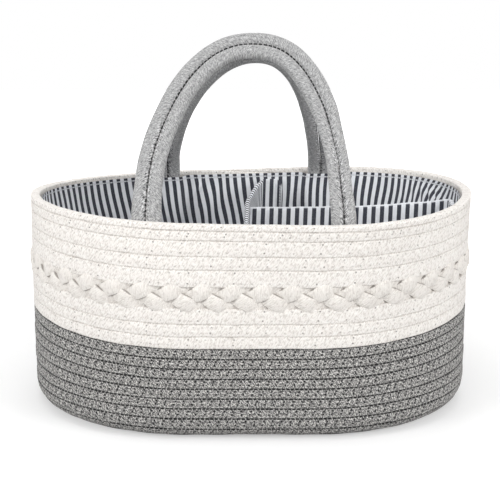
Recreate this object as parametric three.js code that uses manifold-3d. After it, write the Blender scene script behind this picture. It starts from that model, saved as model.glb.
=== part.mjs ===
// Diaper caddy: an oval basket sewn from rope, grey below and off-white above, with a braided band,
// a striped lining, two rope handles that fold outwards and a T-shaped divider that lifts out.
// Millimetres, +Z up, front towards -Y. The origin is under the middle of the base, on the ground.

import * as THREE from 'three';
import Module from 'manifold-3d';
import { mergeVertices } from 'three/addons/utils/BufferGeometryUtils.js';

const wasm = await Module();
wasm.setup();

// Plan of the basket: two straight runs joined by half ellipses
const basketLength = 380;
const basketWidth = 250;
const straightRun = 100;

// Rope of the basket, as it lies in the wall
const ropeThickness = 8;
const baseEdgeRadius = 16;
const turnGap = 0.55;
const greyRows = 10;
const greyRowHeight = 8.4;
const lowerRowHeights = [10.1, 10.2, 10];
const braidHeight = 23.4;
const braidProud = 1;
const upperRowHeights = [10.9, 10.9, 12.7, 7.8, 4.6];
const taperStartShare = 0.2;
const baseRows = 12;

// Facets of the curved ends
const wallEndSteps = 11;
const baseEndSteps = 7;

// How the finished basket has settled: its left end is drawn in at the rim, the whole rim is a
// little askew, and the rows climb towards both ends
const rimDrawInShare = 0.177;
const rimSkewShare = 0.041;
const rimShift = 2;
const endRiseAtGreyTop = 8.7;
const endRiseAtRim = 4.7;

// Fabric lining
const seatGap = 0.4;
const liningThickness = 1.2;
const liningDrop = 3.5;
const baseClearance = 1.7;
const pocketFade = 9;

// Handles: two ropes side by side, sewn into the wall below the rim, a little to the left of the
// middle. Each arch is an oval whose legs lean in; its top slants to one side and its middle bows out
// to one. The tops lean towards each other by shares of half the width.
const handleRopeWidth = 12.1;
const handleThickness = 9;
const frontLegMiddle = -6.6;
const backLegMiddle = -6.1;
const frontLegPlace = 77.5;
const backLegPlace = 74;
const frontLeanIn = 8;
const backLeanIn = 6.9;
const frontSlant = 0.8;
const backSlant = -5.9;
const frontBow = -4.2;
const backBow = -3.6;
const frontFullness = 2.38;
const backFullness = 2.18;
const handleRise = 155;
const hingeClearance = 0.8;
const tailLength = 64;
const frontLeanShare = 0.7376;
const backLeanShare = 0.8135;

// Divider: board in a fabric sleeve, with flaps that fasten to the lining
const dividerTop = 168;
const sleeveThickness = 4.4;
const sleeveFabric = 0.9;
const boardThickness = 2;
const sleeveEndInset = 21;
const crossFrontX = -5;
const crossMiddleX = -3.6;
const crossBackX = 9.5;
const flapFabric = 1.8;
const flapWidth = 21;
const flapBottom = 30;
const stripThickness = 1.2;
const stripWidth = 16;
const stripBottom = 45;
const stripTop = 155;

// Derived sizes
const halfLength = basketLength / 2;
const halfWidth = basketWidth / 2;
const halfRun = straightRun / 2;
const endReach = halfLength - halfRun;
const edgeArc = baseEdgeRadius * Math.PI / 2;
const edgeTop = ropeThickness / 2 + baseEdgeRadius;
const edgeInset = ropeThickness / 2 + baseEdgeRadius;
const sum = (list) => list.reduce((total, value) => total + value, 0);
const greyTopDistance = greyRows * greyRowHeight;
const braidStartDistance = greyTopDistance + sum(lowerRowHeights);
const braidEndDistance = braidStartDistance + braidHeight;
const rimDistance = braidEndDistance + sum(upperRowHeights);
const heightAt = (distance) => edgeTop + distance - edgeArc;
const distanceAt = (height) => edgeArc + height - edgeTop;
const greyTop = heightAt(greyTopDistance);
const rimHeight = heightAt(rimDistance);
const hingeLift = hingeClearance + handleThickness / 2;
const frontLean = Math.asin(frontLeanShare * halfWidth / handleRise);
const backLean = Math.asin(backLeanShare * halfWidth / handleRise);
const legInset = ropeThickness + seatGap + handleThickness / 2;
const legPairHalfWidth = handleRopeWidth + seatGap / 2;
const tailBottom = rimHeight - tailLength;
const liningTop = rimHeight - liningDrop;
const liningInner = ropeThickness + seatGap + liningThickness;
const floorTop = ropeThickness + seatGap + liningThickness;
const dividerBottom = floorTop + seatGap;

// Materials
function material(color, roughness) {
  return new THREE.MeshStandardMaterial({ color, roughness, metalness: 0 });
}
const greyRope = material(0x8c8a88, 0.95);
const whiteRope = material(0xf0ebe5, 0.95);
const handleRope = material(0xb1b1b1, 0.95);
const stripedCotton = material(0xaab0b8, 0.9);
const cardboard = material(0xb59a72, 0.9);
const fastener = material(0xe6e6e8, 0.8);

// Plan of the wall
// A station is a place along the wall: the middle of its end ellipse and the wall's outward angle.
const facetAngle = Math.PI / wallEndSteps;

function stationPoint(station, inset) {
  const cos = Math.cos(station.angle);
  const sin = Math.sin(station.angle);
  const reach = Math.hypot(endReach * cos, halfWidth * sin);
  return {
    x: station.middle + endReach ** 2 * cos / reach - inset * cos,
    y: halfWidth ** 2 * sin / reach - inset * sin,
  };
}

// The whole wall once round, from the back left, with a number of facets at each end.
function lapStations(endSteps) {
  const stations = [];
  for (const [middle, start] of [[-halfRun, Math.PI / 2], [halfRun, Math.PI * 1.5]]) {
    for (let step = 0; step <= endSteps; step += 1) {
      stations.push({ middle, angle: start + Math.PI * step / endSteps });
    }
  }
  return stations;
}

// The wall's own stations with more along the straight runs, and any others that are asked for.
const runShares = [0.2, 0.4, 0.6, 0.8];
const sameAngle = 1e-9;

function closeStations(others = []) {
  const run = (from, angle) => runShares.map((share) => ({ middle: from * (1 - 2 * share), angle }));
  const runs = [...run(-halfRun, Math.PI * 1.5), ...run(halfRun, Math.PI * 2.5)];
  const all = [...lapStations(wallEndSteps), ...runs, ...others];
  return all.sort((a, b) => (
    Math.abs(a.angle - b.angle) > sameAngle ? a.angle - b.angle : (b.middle - a.middle) * Math.sin(a.angle)
  ));
}

// The station where the wall's outer face is at x, on the back (side 1) or the front (side -1).
function stationAtX(x, side) {
  if (Math.abs(x) <= halfRun) return { middle: x, angle: Math.PI * (side < 0 ? 1.5 : 2.5) };
  for (let step = 0; step < wallEndSteps; step += 1) {
    const near = Math.PI / 2 - step * facetAngle;
    const [start, end] = [near, near - facetAngle].map((angle) => (
      stationPoint({ middle: halfRun, angle }, 0).x
    ));
    if (Math.abs(x) <= end) {
      const angle = near - facetAngle * (Math.abs(x) - start) / (end - start);
      const outward = side * (x > 0 ? angle : Math.PI - angle);
      return { middle: Math.sign(x) * halfRun, angle: outward > Math.PI / 2 ? outward : outward + 2 * Math.PI };
    }
  }
  throw new Error(`the wall does not reach x = ${x}`);
}

// Side of the basket
// From the floor's edge up the wall, a distance along the rope's middle gives an inset and a height.
function wallPoint(distance, outward) {
  const angle = Math.min(Math.max(distance, 0) / baseEdgeRadius, Math.PI / 2);
  const straight = Math.max(distance - edgeArc, 0);
  const inset = edgeInset - baseEdgeRadius * Math.sin(angle);
  const height = ropeThickness / 2 + baseEdgeRadius * (1 - Math.cos(angle)) + straight;
  return {
    inset: inset - outward * Math.sin(angle),
    height: height - outward * Math.cos(angle),
  };
}

// Heights, as shares of the way from the grey rope's top to the rim, where upright pieces have points.
// Between them the wall leans evenly, so that neighbouring pieces settle alike.
const bandShares = [braidStartDistance, braidEndDistance].map((distance) => (
  (distance - greyTopDistance) / (rimDistance - greyTopDistance)
));
const settleShares = [0, ...bandShares, 0.69, 0.85, 1];

function swayAt(upper) {
  const index = settleShares.findIndex((share, place) => place > 0 && upper <= share);
  const [low, high] = index < 0 ? settleShares.slice(-2) : settleShares.slice(index - 1, index + 1);
  return low ** 2 + (high ** 2 - low ** 2) * (upper - low) / (high - low);
}

function settle(x, y, z) {
  const along = x / halfLength;
  const upper = Math.max(z - greyTop, 0) / (rimHeight - greyTop);
  const sway = swayAt(upper);
  const lower = THREE.MathUtils.smoothstep(z, edgeTop, greyTop);
  const rise = lower * THREE.MathUtils.lerp(endRiseAtGreyTop, endRiseAtRim, upper);
  return new THREE.Vector3(
    x + rimShift * sway,
    y * (1 + rimDrawInShare * along * sway) + rimSkewShare * x * sway,
    z + rise * Math.abs(along) ** 3,
  );
}

// A point of a piece that follows the wall. Between the wall's own stations it lies on the facet.
function settledPoint(station, inset, height) {
  const turns = (station.angle - Math.PI / 2) / facetAngle;
  const [before, after] = [Math.floor(turns), Math.ceil(turns)].map((turn) => {
    const corner = { middle: station.middle, angle: Math.PI / 2 + turn * facetAngle };
    const { x, y } = stationPoint(corner, inset);
    return settle(x, y, height);
  });
  return before.lerp(after, turns - Math.floor(turns));
}

const settleLevels = settleShares.map((share) => THREE.MathUtils.lerp(greyTop, rimHeight, share));
const sameHeight = 1e-6;
function levelsBetween(bottom, top) {
  const inside = settleLevels.filter((level) => level > bottom + sameHeight && level < top - sameHeight);
  return [bottom, ...inside, top];
}

// Closed solids
function signedVolume(positions, indices) {
  let total = 0;
  const [a, b, c] = [new THREE.Vector3(), new THREE.Vector3(), new THREE.Vector3()];
  for (let i = 0; i < indices.length; i += 3) {
    a.fromArray(positions, 3 * indices[i]);
    b.fromArray(positions, 3 * indices[i + 1]);
    c.fromArray(positions, 3 * indices[i + 2]);
    total += a.dot(b.cross(c)) / 6;
  }
  return total;
}

function bufferSolid(positions, indices) {
  if (signedVolume(positions, indices) < 0) indices.reverse();
  const geometry = new THREE.BufferGeometry();
  geometry.setAttribute('position', new THREE.Float32BufferAttribute(positions, 3));
  geometry.setIndex(indices);
  geometry.computeVertexNormals();
  return geometry;
}

// Joins sections, each a closed ring of as many points, into one tube with capped ends or a loop.
// Every face is split from its lower near corner, so that faces side by side bend alike. A cap is a
// ladder between the section's first half and its second.
function loft(sections, closed = false) {
  const count = sections[0].length;
  const positions = sections.flat().flatMap((point) => point.toArray());
  const indices = [];
  const spans = closed ? sections.length : sections.length - 1;
  for (let row = 0; row < spans; row += 1) {
    const next = (row + 1) % sections.length;
    for (let side = 0; side < count; side += 1) {
      const other = (side + 1) % count;
      const [a, b] = [row * count + side, row * count + other];
      const [c, d] = [next * count + side, next * count + other];
      const rises = sections[row][other].z >= sections[row][side].z;
      indices.push(...(rises ? [a, b, d, a, d, c] : [a, b, c, b, d, c]));
    }
  }
  if (!closed) {
    const end = (sections.length - 1) * count;
    for (let side = 0; side < count / 2 - 1; side += 1) {
      const [a, b, c, d] = [side, side + 1, count - 1 - side, count - 2 - side];
      indices.push(b, a, c, b, c, d);
      indices.push(...[a, b, c, b, d, c].map((corner) => corner + end));
    }
  }
  return bufferSolid(positions, indices);
}

function toManifold(geometry) {
  const bare = new THREE.BufferGeometry();
  bare.setAttribute('position', geometry.getAttribute('position').clone());
  bare.setIndex(geometry.getIndex().clone());
  const merged = mergeVertices(bare);
  return new wasm.Manifold(new wasm.Mesh({
    numProp: 3,
    vertProperties: Float32Array.from(merged.getAttribute('position').array),
    triVerts: Uint32Array.from(merged.getIndex().array),
  }));
}

function fromManifold(solid) {
  const mesh = solid.getMesh();
  const geometry = new THREE.BufferGeometry();
  geometry.setAttribute('position', new THREE.BufferAttribute(mesh.vertProperties, 3));
  geometry.setIndex(new THREE.BufferAttribute(mesh.triVerts, 1));
  geometry.computeVertexNormals();
  return geometry;
}

const caddy = new THREE.Group();

function addPiece(name, geometry, look, parent = caddy) {
  const mesh = new THREE.Mesh(geometry, look);
  mesh.name = name;
  parent.add(mesh);
}

// Rope section: six corners, as shares of half its width across and half its height
const ropeSectionShares = [[1, 0], [0.5, 1], [-0.5, 1], [-1, 0], [-0.5, -1], [0.5, -1]];

// Least gap between a rope's turns, from each corner of a section to the edges of the turns beside it.
function reportLeastGap(name, sections, stepsPerTurn) {
  let least = Infinity;
  const edge = new THREE.Line3();
  const nearest = new THREE.Vector3();
  const nearStep = Math.floor(stepsPerTurn / 2);
  for (let from = 0; from < sections.length; from += 1) {
    const farStep = Math.min(from + 3 * nearStep, sections.length - 1);
    for (let to = from + nearStep; to < farStep; to += 1) {
      for (const corner of sections[from]) {
        for (let side = 0; side < sections[to].length; side += 1) {
          edge.set(sections[to][side], sections[to + 1][side]);
          edge.closestPointToPoint(corner, true, nearest);
          least = Math.min(least, nearest.distanceTo(corner));
        }
      }
    }
  }
  console.log(`${name}: least gap between turns ${least.toFixed(2)} mm`);
}

// Coils: one unbroken rope each. A row keeps its place all the way round and moves over to the next
// one on the straight run at the back, where the rope's first and last ends taper away.
function coil(name, lap, edges, sectionAt, look) {
  const between = (share) => ({ middle: halfRun - share * straightRun, angle: Math.PI / 2 });
  const last = edges.length - 2;
  const startEdge = THREE.MathUtils.lerp(edges[0], edges[1], taperStartShare);
  const sections = [sectionAt(between(taperStartShare), edges[0], startEdge)];
  for (let row = 0; row <= last; row += 1) {
    if (row > 0) {
      const [low, middle, high] = [edges[row - 1], edges[row], edges[row + 1]];
      sections.push(sectionAt(between(0.5), (low + middle) / 2, (middle + high) / 2));
    }
    for (const station of lap) sections.push(sectionAt(station, edges[row], edges[row + 1]));
  }
  const endEdge = THREE.MathUtils.lerp(edges[last + 1], edges[last], taperStartShare);
  sections.push(sectionAt(between(1 - taperStartShare), endEdge, edges[last + 1]));
  reportLeastGap(name, sections, lap.length);
  addPiece(name, loft(sections), look);
}

function rowEdges(start, rowHeights) {
  const edges = [start];
  for (const height of rowHeights) edges.push(edges.at(-1) + height);
  return edges;
}

function wallSection(station, low, high) {
  const middle = (low + high) / 2;
  const half = (high - low - turnGap) / 2;
  return ropeSectionShares.map(([across, along]) => {
    const spot = wallPoint(middle + along * half, across * ropeThickness / 2);
    return settledPoint(station, spot.inset, spot.height);
  });
}

function wallCoil(name, startDistance, rowHeights, look) {
  coil(name, lapStations(wallEndSteps), rowEdges(startDistance, rowHeights), wallSection, look);
}

wallCoil('wall_coil_grey', 0, Array(greyRows).fill(greyRowHeight), greyRope);
wallCoil('wall_coil_white_lower', greyTopDistance, lowerRowHeights, whiteRope);
wallCoil('wall_coil_white_upper', braidEndDistance, upperRowHeights, whiteRope);

// Base coil: rows at a steady reach from the middle line. It stands on the flats of its sections.
function baseSection(station, low, high) {
  const half = (high - low - turnGap) / 2;
  return ropeSectionShares.map(([across, along]) => {
    const reach = (low + high) / 2 + across * half;
    const run = THREE.MathUtils.lerp(halfLength - halfWidth, halfRun, reach / halfWidth);
    const tip = halfLength - halfWidth + reach - run;
    const x = station.middle / halfRun * run + tip * Math.cos(station.angle);
    return new THREE.Vector3(x, reach * Math.sin(station.angle), (1 + along) * ropeThickness / 2);
  });
}

const baseRowWidth = (halfWidth - edgeInset - baseClearance) / baseRows;
const baseEdges = rowEdges(0, Array(baseRows).fill(baseRowWidth));
coil('base_coil', lapStations(baseEndSteps), baseEdges, baseSection, greyRope);

// Braided band: three strands, sewn on as one band between the two white coils.
function braidedBand() {
  const low = braidStartDistance + turnGap / 2;
  const high = braidEndDistance - turnGap / 2;
  const bevel = ropeThickness / 4;
  const back = -ropeThickness / 2;
  const front = ropeThickness / 2 + braidProud;
  const profile = [
    [low, back],
    [low, front - bevel],
    [low + bevel, front],
    [high - bevel, front],
    [high, front - bevel],
    [high, back],
  ];
  const sections = closeStations().map((station) => profile.map(([distance, outward]) => {
    const spot = wallPoint(distance, outward);
    return settledPoint(station, spot.inset, spot.height);
  }));
  addPiece('braided_band', loft(sections, true), whiteRope);
}
braidedBand();

// Lining: a wall piece that steps inwards over the sewn handle tails, and a floor piece.
const pocketDepth = handleThickness + seatGap;
const pocketLow = settleLevels[0];
const pocketHigh = settleLevels[1];

function legX(side, sign) {
  return side < 0 ? frontLegMiddle + sign * frontLegPlace : backLegMiddle + sign * backLegPlace;
}

function pocketAt(x, side) {
  const beside = Math.min(...[-1, 1].map((sign) => Math.abs(x - legX(side, sign))));
  const outside = beside - legPairHalfWidth - seatGap;
  return pocketDepth * (1 - THREE.MathUtils.clamp(outside / pocketFade, 0, 1));
}

// The pocket over each tail bends at these stations.
function pocketStations() {
  const reach = legPairHalfWidth + seatGap;
  const bends = [-reach - pocketFade, -reach, reach, reach + pocketFade];
  return [-1, 1].flatMap((side) => [-1, 1].flatMap((end) => (
    bends.map((bend) => stationAtX(legX(side, end) + bend, side))
  )));
}

function liningSection(station) {
  const outer = [];
  const inner = [];
  const { x } = stationPoint(station, 0);
  const side = Math.sign(Math.sin(station.angle));
  for (const distance of liningDistances()) {
    const height = heightAt(distance);
    const open = THREE.MathUtils.clamp((height - pocketLow) / (pocketHigh - pocketLow), 0, 1);
    const pocket = distance > edgeArc ? open * pocketAt(x, side) : 0;
    const near = -(ropeThickness / 2 + seatGap) - pocket;
    outer.push(wallPoint(distance, near));
    inner.push(wallPoint(distance, near - liningThickness));
  }
  return [...outer, ...inner.reverse()].map((spot) => settledPoint(station, spot.inset, spot.height));
}

function liningDistances() {
  const edge = [0, 1 / 3, 2 / 3, 1].map((share) => share * edgeArc);
  return [...edge, ...levelsBetween(edgeTop, liningTop).slice(1).map(distanceAt)];
}

addPiece('lining_wall', loft(closeStations(pocketStations()).map(liningSection), true), stripedCotton);

function liningFloor() {
  const lap = lapStations(wallEndSteps);
  const inset = edgeInset + seatGap;
  const low = lap.map((station) => settledPoint(station, inset, floorTop - liningThickness));
  const high = lap.map((station) => settledPoint(station, inset, floorTop));
  addPiece('lining_floor', loft([low, high]), stripedCotton);
}
liningFloor();

// Handle tails: the ends of both ropes of a leg, sewn between the rope wall and the lining.
// The outline is that of two ropes side by side, as shares of the pair's half width and half thickness.
const tailSectionShares = [
  [1, 0], [0.85, 0.8], [0.5, 1], [0.12, 0.75], [-0.12, 0.75], [-0.5, 1], [-0.85, 0.8],
  [-1, 0], [-0.85, -0.8], [-0.5, -1], [-0.12, -0.75], [0.12, -0.75], [0.5, -1], [0.85, -0.8],
];

function handleTail(name, x, side) {
  const top = rimHeight + hingeLift - handleThickness / 2 - seatGap;
  const sections = levelsBetween(tailBottom, top).map((height) => (
    tailSectionShares.map(([along, across]) => {
      const station = stationAtX(x + along * legPairHalfWidth, side);
      return settledPoint(station, legInset - across * handleThickness / 2, height);
    })
  ));
  addPiece(name, loft(sections), handleRope);
}
for (const [end, sign] of [['left', -1], ['right', 1]]) {
  handleTail(`front_handle_tail_${end}`, legX(-1, sign), -1);
  handleTail(`back_handle_tail_${end}`, legX(1, sign), 1);
}

// Handles: each is two ropes that run side by side over an arch, in one plane. The hinge line is
// where the legs come out of the wall, just over the rim.
const archSteps = 30;
const handleSides = 8;

function archPath(halfSpan, { leanIn, slant, bow, fullness }) {
  const path = [];
  for (let step = 0; step <= archSteps; step += 1) {
    const angle = Math.PI * step / archSteps;
    const cos = Math.cos(angle);
    const share = Math.max(Math.sin(angle), 0) ** (2 / fullness);
    const out = (halfSpan - leanIn * share) * Math.sign(cos) * Math.abs(cos) ** (2 / fullness);
    const aside = slant * share + 4 * bow * share * (1 - share);
    path.push(new THREE.Vector2(out + aside, handleRise * share));
  }
  return path;
}

// A leg's end is rounded about the hinge line, as shares of half the thickness: how far below the
// line, and how thick.
const roundShares = [[0.97, 0.24], [0.7, 0.71]];

function archSection(point, out, offset, thickShare) {
  const corner = 1 / Math.cos(Math.PI / handleSides);
  const section = [];
  for (let side = 0; side < handleSides; side += 1) {
    const angle = 2 * Math.PI * (side + 0.5) / handleSides;
    const reach = offset + corner * handleRopeWidth / 2 * Math.cos(angle);
    const thick = corner * thickShare * handleThickness / 2 * Math.sin(angle);
    section.push(new THREE.Vector3(point.x + out.x * reach, thick, point.y + out.y * reach));
  }
  return section;
}

function archRope(halfSpan, form, offset) {
  const path = archPath(halfSpan, form);
  const last = path.length - 1;
  const arch = path.map((point, index) => {
    const tangent = path[Math.min(index + 1, last)].clone().sub(path[Math.max(index - 1, 0)]).normalize();
    const level = index === 0 || index === last;
    const out = level ? new THREE.Vector2(Math.sign(point.x), 0) : new THREE.Vector2(tangent.y, -tangent.x);
    return archSection(point, out, offset, 1);
  });
  const [right, left] = [1, -1].map((sign) => roundShares.map(([below, thickShare]) => {
    const end = new THREE.Vector2(sign * halfSpan, -below * handleThickness / 2);
    return archSection(end, new THREE.Vector2(sign, 0), offset, thickShare);
  }));
  return loft([...right, ...arch, ...left.reverse()]);
}

function handle(name, side, lean, form) {
  const [right, left] = [1, -1].map((sign) => (
    settledPoint(stationAtX(legX(side, sign), side), legInset, rimHeight)
  ));
  const hinge = new THREE.Group();
  hinge.position.copy(right).add(left).multiplyScalar(0.5);
  hinge.position.z += hingeLift;
  hinge.rotation.z = Math.atan2(right.y - left.y, right.x - left.x);
  const plane = new THREE.Group();
  plane.rotation.x = side * lean;
  hinge.add(plane);
  caddy.add(hinge);
  const halfSpan = Math.hypot(right.x - left.x, right.y - left.y) / 2;
  const offset = (handleRopeWidth + seatGap) / 2;
  for (const [rope, out] of [['outer_rope', offset], ['inner_rope', -offset]]) {
    addPiece(`${name}_${rope}`, archRope(halfSpan, form, out), handleRope, plane);
  }
  const place = hinge.position.toArray().map((value) => value.toFixed(2)).join(', ');
  const turn = THREE.MathUtils.radToDeg(hinge.rotation.z).toFixed(2);
  console.log(`${name}: hinge at ${place} mm, turned ${turn} degrees, half span ${halfSpan.toFixed(2)} mm`);
}
handle('front_handle', -1, frontLean, {
  leanIn: frontLeanIn, slant: frontSlant, bow: frontBow, fullness: frontFullness,
});
handle('back_handle', 1, backLean, {
  leanIn: backLeanIn, slant: backSlant, bow: backBow, fullness: backFullness,
});

// Divider: upright pieces that follow the wall or a line in the plan
function uprightSection(pointAt, near, far, bottom, top) {
  const levels = levelsBetween(bottom, top);
  const up = levels.map((height) => pointAt(near, height));
  const down = levels.reverse().map((height) => pointAt(far, height));
  return [...up, ...down];
}

function wallStrip(stations, near, far, bottom, top) {
  return loft(stations.map((station) => (
    uprightSection((inset, height) => settledPoint(station, inset, height), near, far, bottom, top)
  )));
}

function panel(path, halfThick, bottom, top) {
  const last = path.length - 1;
  return loft(path.map((point, index) => {
    const tangent = path[Math.min(index + 1, last)].clone().sub(path[Math.max(index - 1, 0)]).normalize();
    const place = (out, height) => settle(point.x - tangent.y * out, point.y + tangent.x * out, height);
    return uprightSection(place, -halfThick, halfThick, bottom, top);
  }));
}

// A sleeve is closed at the top and both ends and open below, where its board goes in.
function sleeveSolid(path, start, end) {
  const outer = panel(path(start, end), sleeveThickness / 2, dividerBottom, dividerTop);
  const hollow = panel(
    path(start + sleeveFabric, end - sleeveFabric),
    sleeveThickness / 2 - sleeveFabric,
    dividerBottom - seatGap,
    dividerTop - sleeveFabric,
  );
  return toManifold(outer).subtract(toManifold(hollow));
}

function boardSolid(path, start, end) {
  const edge = sleeveFabric + seatGap;
  return panel(path(start + edge, end - edge), boardThickness / 2, dividerBottom, dividerTop - edge);
}

const crossHalf = halfWidth - sleeveEndInset;
const crossSteps = 8;

function crossX(y) {
  if (y < 0) return THREE.MathUtils.lerp(crossMiddleX, crossFrontX, -y / crossHalf);
  return THREE.MathUtils.lerp(crossMiddleX, crossBackX, (y / crossHalf) ** 2);
}

function crossPath(start, end) {
  const path = [];
  for (let step = 0; step <= crossSteps; step += 1) {
    const y = THREE.MathUtils.lerp(start, end, step / crossSteps);
    path.push(new THREE.Vector2(crossX(y), y));
  }
  return path;
}

function longPath(start, end) {
  return [0, 1 / 3, 2 / 3, 1].map((share) => (
    new THREE.Vector2(THREE.MathUtils.lerp(start, end, share), 0)
  ));
}

const longStart = crossMiddleX + sleeveThickness / 2 + seatGap;
const endFace = stationPoint({ middle: halfRun, angle: facetAngle / 2 }, 0).x;
const longEnd = endFace - sleeveEndInset;

// Insets of what is stacked against the lining, from the wall inwards
const patchNear = liningInner + seatGap;
const patchFar = patchNear + stripThickness;
const hookNear = patchFar + seatGap;
const hookFar = hookNear + stripThickness;
const flapNear = hookFar + seatGap;
const flapFar = flapNear + flapFabric;

// Stations of a flap on the back (side 1) or the front (side -1), from its fold towards the right.
function flapStations(side, from, width) {
  const stations = [from, from + width].map((middle) => ({ middle, angle: side * Math.PI / 2 }));
  return side > 0 ? stations.reverse() : stations;
}

// Stations of a flap on the right end, from its fold towards the front.
function endStations(from, width) {
  const radius = halfWidth ** 2 / endReach;
  return [1, 0.5, 0].map((share) => ({ middle: halfRun, angle: -(from + share * width) / radius }));
}

function withFlap(solid, strips) {
  let joined = solid;
  for (const strip of strips) joined = joined.add(toManifold(strip));
  return fromManifold(joined);
}

function flap(stations) {
  return wallStrip(stations, flapNear, flapFar, flapBottom, dividerTop);
}

function web(stations) {
  return wallStrip(stations, flapNear, sleeveEndInset + sleeveFabric / 2, flapBottom, dividerTop);
}

function foldedFlap(place) {
  return [flap(place(-flapFabric / 2, flapWidth)), web(place(-flapFabric / 2, flapFabric))];
}

const backPlace = (from, width) => flapStations(1, crossBackX + from, width);
const frontPlace = (from, width) => flapStations(-1, crossFrontX + from, width);
const endPlace = (from, width) => endStations(from, width);

const crossFlaps = [...foldedFlap(backPlace), ...foldedFlap(frontPlace)];
const crossSleeve = sleeveSolid(crossPath, -crossHalf, crossHalf);
addPiece('divider_cross_cover', withFlap(crossSleeve, crossFlaps), stripedCotton);
addPiece('divider_cross_board', boardSolid(crossPath, -crossHalf, crossHalf), cardboard);
const longSleeve = sleeveSolid(longPath, longStart, longEnd);
addPiece('divider_long_cover', withFlap(longSleeve, foldedFlap(endPlace)), stripedCotton);
addPiece('divider_long_board', boardSolid(longPath, longStart, longEnd), cardboard);

// Hook strips on the flaps, and the loop patches on the lining that they press onto.
const stripOffset = (flapWidth - stripWidth) / 2;
for (const [name, place] of [['back', backPlace], ['front', frontPlace], ['right', endPlace]]) {
  const stations = place(stripOffset, stripWidth);
  addPiece(`hook_strip_${name}`, wallStrip(stations, hookNear, hookFar, stripBottom, stripTop), fastener);
  addPiece(`loop_patch_${name}`, wallStrip(stations, patchNear, patchFar, stripBottom, stripTop), fastener);
}

export default caddy;
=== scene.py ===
# %% [markdown]
# # A diaper caddy sewn from rope
# The real caddy is one long cotton rope after another, wound up in rows and sewn row to row,
# with a striped cloth lining, two rope handles and a cloth divider. The CAD model already says
# where each piece sits and how it moves. This lesson dresses every piece in its real form and
# finish.

import math

import bpy
import numpy as np
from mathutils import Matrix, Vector


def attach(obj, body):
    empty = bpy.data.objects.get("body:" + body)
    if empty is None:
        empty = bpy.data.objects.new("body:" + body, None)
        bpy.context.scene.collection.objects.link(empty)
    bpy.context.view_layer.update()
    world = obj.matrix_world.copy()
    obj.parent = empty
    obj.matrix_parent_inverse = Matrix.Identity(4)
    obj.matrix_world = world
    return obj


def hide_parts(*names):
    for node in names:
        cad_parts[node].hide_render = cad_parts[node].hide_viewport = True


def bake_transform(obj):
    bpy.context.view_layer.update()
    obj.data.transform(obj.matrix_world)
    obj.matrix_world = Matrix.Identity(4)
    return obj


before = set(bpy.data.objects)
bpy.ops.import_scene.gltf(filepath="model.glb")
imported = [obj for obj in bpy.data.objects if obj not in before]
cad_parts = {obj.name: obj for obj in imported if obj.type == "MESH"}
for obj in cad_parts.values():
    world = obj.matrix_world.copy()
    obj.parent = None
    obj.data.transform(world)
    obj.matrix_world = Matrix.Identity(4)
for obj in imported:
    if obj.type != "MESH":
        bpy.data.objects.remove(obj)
scene = bpy.context.scene
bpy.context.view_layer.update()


def new_object(name, data):
    made = bpy.data.objects.new(name, data)
    scene.collection.objects.link(made)
    return made


# %% [markdown]
# The camera comes first. Its place and lens were found by fitting a pinhole camera to the
# outline of the basket, so that every later piece can be checked against the picture.

# %% Camera
film_width, lens = 36, 92.74
camera_place, camera_tilt = (0.0003, -1.1, 0.4046), 75.95
camera_data = bpy.data.cameras.new("camera")
camera_data.sensor_width = film_width
camera_data.lens = lens
camera = new_object("camera", camera_data)
camera.location = camera_place
camera.rotation_euler = (math.radians(camera_tilt), 0, 0)
scene.camera = camera
print("camera looks down by", round(90 - camera_tilt, 2), "degrees")

# %% [markdown]
# Shader maths reads best as plain Python. A small class wraps a socket, and each operator adds
# one Math node. Colours go through Mix nodes, since a Math node turns them grey.

# %% Sockets as numbers
def maths(operation):
    return lambda number, *others: number.math(operation, *others)


class Number:
    def __init__(self, graph, socket):
        self.graph, self.socket = graph, socket

    def math(self, operation, *others):
        inputs = dict(enumerate((self, *others)))
        return self.graph.add("Math", {"operation": operation}, inputs)

    __add__, __sub__ = maths("ADD"), maths("SUBTRACT")
    __mul__, __truediv__ = maths("MULTIPLY"), maths("DIVIDE")
    __abs__, sine, fraction = maths("ABSOLUTE"), maths("SINE"), maths("FRACT")
    least, most, power = maths("MINIMUM"), maths("MAXIMUM"), maths("POWER")

    def __rsub__(self, other):
        return (self * -1).math("ADD", other)

    def rise(self, low, high):
        """0 below low, 1 above high, and a smooth step between."""
        settings = {"interpolation_type": "SMOOTHSTEP"}
        return self.graph.add("MapRange", settings, {0: self, 1: low, 2: high})


# %% [markdown]
# Every finish is one material with a Principled shader. It is a graph of nodes, and one method
# adds any node: its type, its settings, which are set first, and the values or links of its
# sockets. Some nodes have several sockets of one name, and those go by their number.

# %% Finishes
mix_share, mix_first, mix_second, mix_result = 0, 6, 7, 2
object_output = 3


class Graph:
    def __init__(self, tree):
        self.nodes, self.links = tree.nodes, tree.links

    def put(self, socket, value):
        if isinstance(value, Number):
            self.links.new(value.socket, socket)
        else:
            socket.default_value = value

    def add(self, kind, settings, values, output=0):
        node = self.nodes.new("ShaderNode" + kind)
        for setting, value in settings.items():
            setattr(node, setting, value)
        for name, value in values.items():
            self.put(node.inputs[name], value)
        return Number(self, node.outputs[output])


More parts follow.
